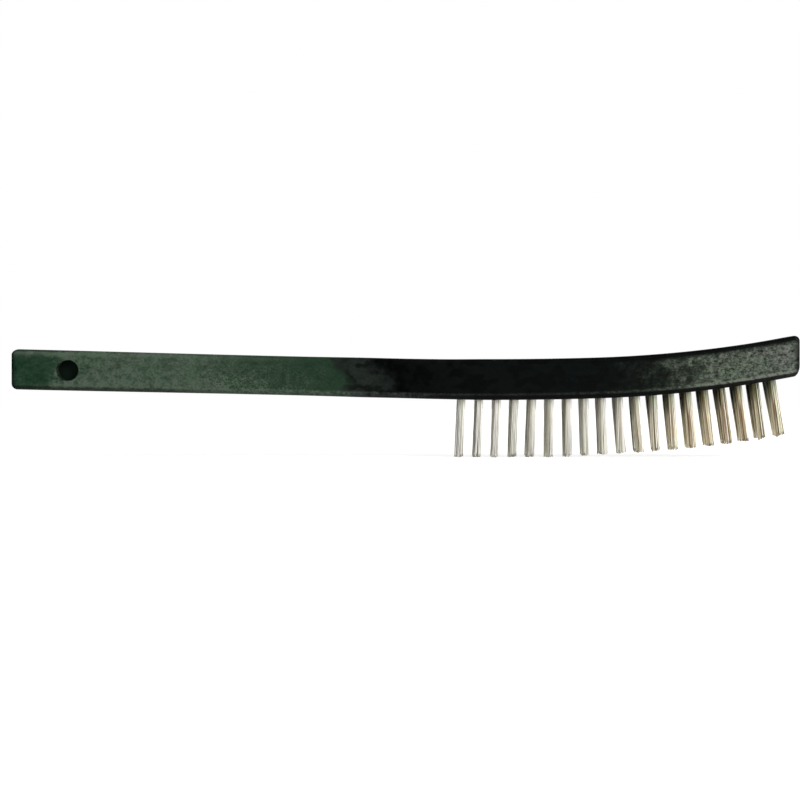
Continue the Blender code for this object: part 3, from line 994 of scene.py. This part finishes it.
def steel():
    """Drawn stainless wire: bright, tan or brown, dark at the cut, with painted light and shade."""
    g = Graph(bpy.data.materials.new("steel_wire_drawn"))
    place = g.place()
    x = g.along_x(place)
    tone, reach = g.attribute("tone"), g.attribute("reach")
    depth, side = g.attribute("depth"), g.attribute("side")
    silver, warm = g.ramp(tone, SILVER_STOPS), g.ramp(tone, WARM_STOPS)
    colour = g.mix(g.span(x, *WARM_ROWS), silver, warm)
    streak = g.stretched_noise(place, *STREAK)
    colour = g.tinted(colour, g.ramp(streak, STREAK_STOPS))
    colour = g.tinted(colour, g.ramp(g.stretched_noise(place, *CAST), CAST_STOPS))

    # Near the toe the lower half is a clear tan on the side towards the butt, with brown wires in
    # the middle.
    lower = g.times(g.span(reach, *TAN_REACH), g.span(x, *TAN_ROWS))
    colour = g.mix(g.times(g.span(side, *TAN_SIDE), lower), colour, TAN)
    brown = g.span(g.math("FRACT", g.times(tone, BROWN_SPREAD)), *BROWN_TONES)
    brown = g.times(brown, g.span(side, *BROWN_SIDE), g.span(side, *BROWN_SIDE_END))
    brown = g.times(brown, g.span(reach, *BROWN_REACH), lower)
    colour = g.mix(brown, colour, BROWN)

    # Painted light on the side of each tuft towards the toe in the rows before those, and an olive
    # cast at the roots near the toe.
    lit_side = g.times(g.span(x, *LIT_SIDE_ROWS), g.span(x, *LIT_SIDE_ROWS_END))
    colour = g.mix(g.times(lit_side, g.span(side, *LIT_SIDE_ACROSS)), colour, LIT_SIDE_TINT)
    olive = g.times(g.span(reach, *OLIVE_REACH), g.span(x, *OLIVE_ROWS))
    colour = g.tinted(colour, g.mix(olive, WHITE, OLIVE))

    # Painted shade on each tuft's side towards the butt, away from the light, browner near the toe
    # and most in the row nearest the camera.
    side_shade = g.times(g.span(side, *SIDE_SHADE_ACROSS), g.span(depth, *SIDE_SHADE_DEPTH), g.span(x, *SIDE_SHADE_ROWS))
    side_shade = g.times(side_shade, g.span(reach, *SIDE_SHADE_REACH, g.span(x, *SIDE_SHADE_ROOT_ROWS)))
    side_shade_tint = g.mix(g.span(x, *SIDE_SHADE_BROWN_ROWS), SIDE_SHADE_GREY, SIDE_SHADE_BROWN)
    colour = g.tinted(colour, g.mix(side_shade, WHITE, side_shade_tint))

    # Darker cut ends, and painted shade at the roots, which reaches further out in the rows behind.
    first_dark = g.between(tone, *CUT_FROM)
    cut_dark = g.span(g.math("FRACT", g.times(tone, CUT_DARK_SPREAD)), *CUT_DARK_TONES)
    cut = g.span(reach, first_dark, g.plus(first_dark, CUT_WIDTH), 1.0, cut_dark)
    colour = g.tinted(colour, cut)
    toe_root = g.span(side, *TOE_ROOT_SIDE, g.span(x, *LAST_ROWS))
    front_root = g.span(
        x, *FRONT_ROOT_ROWS, g.span(side, *ROOT_SIDE, *ROOT_SIDE_NEAR),
        g.span(side, *ROOT_SIDE, ROOT_SIDE_TOE, toe_root),
    )
    root = g.span(
        reach, g.times(depth, ROOT_SHADE_FROM), g.between(depth, *ROOT_SHADE_TO),
        g.span(depth, *ROOT_DEPTH, front_root, ROOT_BEHIND, smooth=False), 1.0, smooth=False,
    )
    # Away from the toe the wires darken a little towards the tips; near the toe the roots take the
    # painted shade instead.
    tip_darkening = g.span(reach, *TIP_DARKENING_REACH)
    g.feed_node("Principled BSDF", {
        "Base Color": g.tinted(colour, g.mix(g.span(x, *ROOT_SHADE_ROWS), tip_darkening, root)),
        "Metallic": 1.0,
        "Roughness": g.span(streak, *STEEL_ROUGHNESS),
    })
    return g.owner


# The studio: lamps as name, place, target, size and power, the world's light on the brush, and the
# floor, whose own glow rises with the distance from the brush.
LAMPS = (
    ("key", (0.85, -0.75, 0.80), (0.08, 0.0, 0.03), (0.6, 0.6), 16.5),
    ("fill", (-0.62, -0.70, 0.50), (-0.14, 0.0, 0.03), (0.35, 0.5), 1.6),
)
AMBIENT = 0.30
FLOOR_HALF = 4.0
FLOOR_GREY = (0.8, 0.8, 0.8, 1.0)
FLOOR_GLOW_REACH = (0.35, 1.1)
FLOOR_GLOW = (0.72, 1.0)

# The dark cloth: the turns round the brush between which it hangs, how far it stays clear of the
# brush along and across it, with the least sine or cosine that divides those, and its distance and
# height from there on.
CLOTH_TURNS_DEG = (-130.0, 5.0)
CLOTH_COLUMNS = 61
CLOTH_CLEAR = (0.20, 0.03)
CLOTH_LEAST_SHARE = 0.01
CLOTH_LIFT = 0.001
CLOTH_PROFILE = (
    (1.70, CLOTH_LIFT), (1.70, 0.80), (1.45, 1.30), (0.80, 1.65), (0.20, 1.75), (-0.80, 1.75),
)
CLOTH_BLACK = (0.01, 0.01, 0.01, 1.0)

# The dark card of painted shade in the hanging hole: its depth from the near side, and how far it
# runs into the plastic.
CARD_DEPTH = 0.0030
CARD_MARGIN = 0.0001
SHADE_CARD_BLACK = (0.006, 0.011, 0.008, 1.0)


def make_lamp(name, place, target, size, power):
    data = bpy.data.lights.new(name, "AREA")
    data.shape = "RECTANGLE"
    data.size, data.size_y = size
    data.energy = power
    lamp = new_object(name, data)
    lamp.location = place
    lamp.rotation_euler = (Vector(target) - Vector(place)).to_track_quat("-Z", "Y").to_euler()


def background_share(g):
    """1 for the rays that see the background: camera, glossy and transmission rays."""
    rays = g.node("ShaderNodeLightPath").outputs
    seen = g.math("MAXIMUM", rays["Is Camera Ray"], rays["Is Glossy Ray"])
    return g.math("MAXIMUM", seen, rays["Is Transmission Ray"])


def make_world():
    world = bpy.data.worlds.new("studio")
    bpy.context.scene.world = world
    g = Graph(world)
    g.feed_node("Background", {
        "Color": WHITE, "Strength": g.between(background_share(g), AMBIENT, 1.0),
    })


def make_floor():
    g = Graph(bpy.data.materials.new("floor_white"))
    g.tree.nodes.remove(g.tree.nodes["Principled BSDF"])
    glow = g.span(g.length(g.place()), *FLOOR_GLOW_REACH, *FLOOR_GLOW)
    lit = g.node("ShaderNodeBsdfDiffuse", {"Color": FLOOR_GREY})
    glowing = g.node("ShaderNodeEmission", {
        "Color": WHITE, "Strength": g.times(background_share(g), glow),
    })
    both = g.node("ShaderNodeAddShader", {0: lit.outputs[0], 1: glowing.outputs[0]})
    g.feed_node("Material Output", {"Surface": both.outputs[0]})
    mesh = bmesh.new()
    bmesh.ops.create_grid(mesh, x_segments=1, y_segments=1, size=FLOOR_HALF)
    new_object("floor", settled("floor", mesh), g.owner)


def matte(name, colour):
    g = Graph(bpy.data.materials.new(name))
    g.feed_node("Principled BSDF", {
        "Base Color": colour, "Roughness": 1.0, "Specular IOR Level": 0.0,
    })
    return g.owner


def make_cloth():
    """Dark studio cloth on the camera's side and the left, seen only in reflections."""
    first, last = CLOTH_TURNS_DEG
    turns = [
        math.radians(first + (last - first) * column / (CLOTH_COLUMNS - 1))
        for column in range(CLOTH_COLUMNS)
    ]
    clear = [
        min(
            CLOTH_CLEAR[0] / max(abs(math.sin(turn)), CLOTH_LEAST_SHARE),
            CLOTH_CLEAR[1] / max(abs(math.cos(turn)), CLOTH_LEAST_SHARE),
        )
        for turn in turns
    ]
    edges = [(clear, CLOTH_LIFT)]
    edges += [([distance] * CLOTH_COLUMNS, height) for distance, height in CLOTH_PROFILE]
    mesh = bmesh.new()
    grid = [
        [
            mesh.verts.new((distance * math.sin(turn), -distance * math.cos(turn), height))
            for turn, distance in zip(turns, distances)
        ]
        for distances, height in edges
    ]
    for low, high in zip(grid, grid[1:]):
        for number in range(CLOTH_COLUMNS - 1):
            mesh.faces.new((low[number], low[number + 1], high[number + 1], high[number]))
    cloth = new_object("dark_cloth", settled("dark_cloth", mesh), matte("cloth_black", CLOTH_BLACK))
    cloth.visible_camera = False
    cloth.visible_diffuse = False
    cloth.visible_shadow = False


def make_hole_card():
    """A dark card inside the hanging hole, because the photograph shows nothing through it."""
    # Painted shade: the card is a dark sheet standing in for the shade inside the hole.
    inside = Matrix.Translation(SEAT + Vector((0.0, CARD_DEPTH - HANDLE_WIDTH / 2, 0.0)))
    mesh = bmesh.new()
    bmesh.ops.create_circle(
        mesh, cap_ends=True, segments=HANG_HOLE_SIDES,
        radius=HANG_HOLE_DIAMETER / 2 + CARD_MARGIN, matrix=inside @ hang_hole_frame(),
    )
    card = new_object("hole_shade_card", settled("hole_shade_card", mesh), matte("shade_card_black", SHADE_CARD_BLACK))


def make_camera():
    data = bpy.data.cameras.new("camera")
    data.lens = CAMERA_LENS
    data.sensor_width = CAMERA_SENSOR
    data.clip_start = CAMERA_CLIP_START
    camera = new_object("camera", data)
    camera.location = CAMERA_PLACE
    camera.rotation_euler = (math.pi / 2, 0.0, 0.0)
    bpy.context.scene.camera = camera


make_camera()
make_world()
make_floor()
make_cloth()
make_hole_card()
for lamp in LAMPS:
    make_lamp(*lamp)
make_handle(plastic())
make_bundles(steel())

bpy.context.scene.view_settings.view_transform = "Standard"
